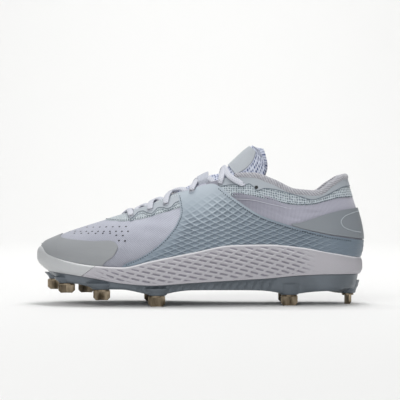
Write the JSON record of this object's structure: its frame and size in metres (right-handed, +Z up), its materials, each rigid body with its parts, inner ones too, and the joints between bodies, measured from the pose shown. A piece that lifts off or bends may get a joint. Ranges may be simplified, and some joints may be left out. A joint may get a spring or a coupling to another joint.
{
  "type": "baseball cleat",
  "caption": "Low baseball shoe for the left foot with a knit upper, foam midsole, moulded plate and bent steel studs.",
  "frame": {"origin": "centre of the bounding box at floor level, where the studs stand", "axes": "+X from the toe towards the heel, -Y towards the outer side of the left foot, +Z up"},
  "size_m": [0.2994, 0.1036, 0.1448],
  "materials": {
    "upper": "matte",
    "toe_overlay": "matte",
    "saddle": "matte",
    "heel_counter": "satin",
    "collar_roll": "matte",
    "tongue": "matte",
    "tongue_label": "matte",
    "lace_keeper": "matte",
    "insole": "matte",
    "midsole": "matte",
    "toe_bumper": "matte",
    "plate": "satin",
    "lace_bar": "matte",
    "lace_cross_1": "matte",
    "lace_cross_2": "matte",
    "lace_cross_3": "matte",
    "lace_cross_4": "matte",
    "toe_stud_inner": "satin",
    "toe_stud_outer": "satin",
    "front_stud_inner": "satin",
    "front_stud_outer": "satin",
    "ball_stud_inner": "satin",
    "ball_stud_outer": "satin",
    "heel_stud_inner": "satin",
    "heel_stud_outer": "satin",
    "heel_stud_back": "satin"
  },
  "bodies": {
    "root": {"upper": "upper", "toe_overlay": "toe_overlay", "saddle": "saddle", "heel_counter": "heel_counter", "collar_roll": "collar_roll", "tongue": "tongue", "tongue_label": "tongue_label", "lace_keeper": "lace_keeper", "insole": "insole", "midsole": "midsole", "toe_bumper": "toe_bumper", "plate": "plate", "lace_bar": "lace_bar", "lace_cross_1": "lace_cross_1", "lace_cross_2": "lace_cross_2", "lace_cross_3": "lace_cross_3", "lace_cross_4": "lace_cross_4", "toe_stud_inner": "toe_stud_inner", "toe_stud_outer": "toe_stud_outer", "front_stud_inner": "front_stud_inner", "front_stud_outer": "front_stud_outer", "ball_stud_inner": "ball_stud_inner", "ball_stud_outer": "ball_stud_outer", "heel_stud_inner": "heel_stud_inner", "heel_stud_outer": "heel_stud_outer", "heel_stud_back": "heel_stud_back"}
  },
  "joints": []
}
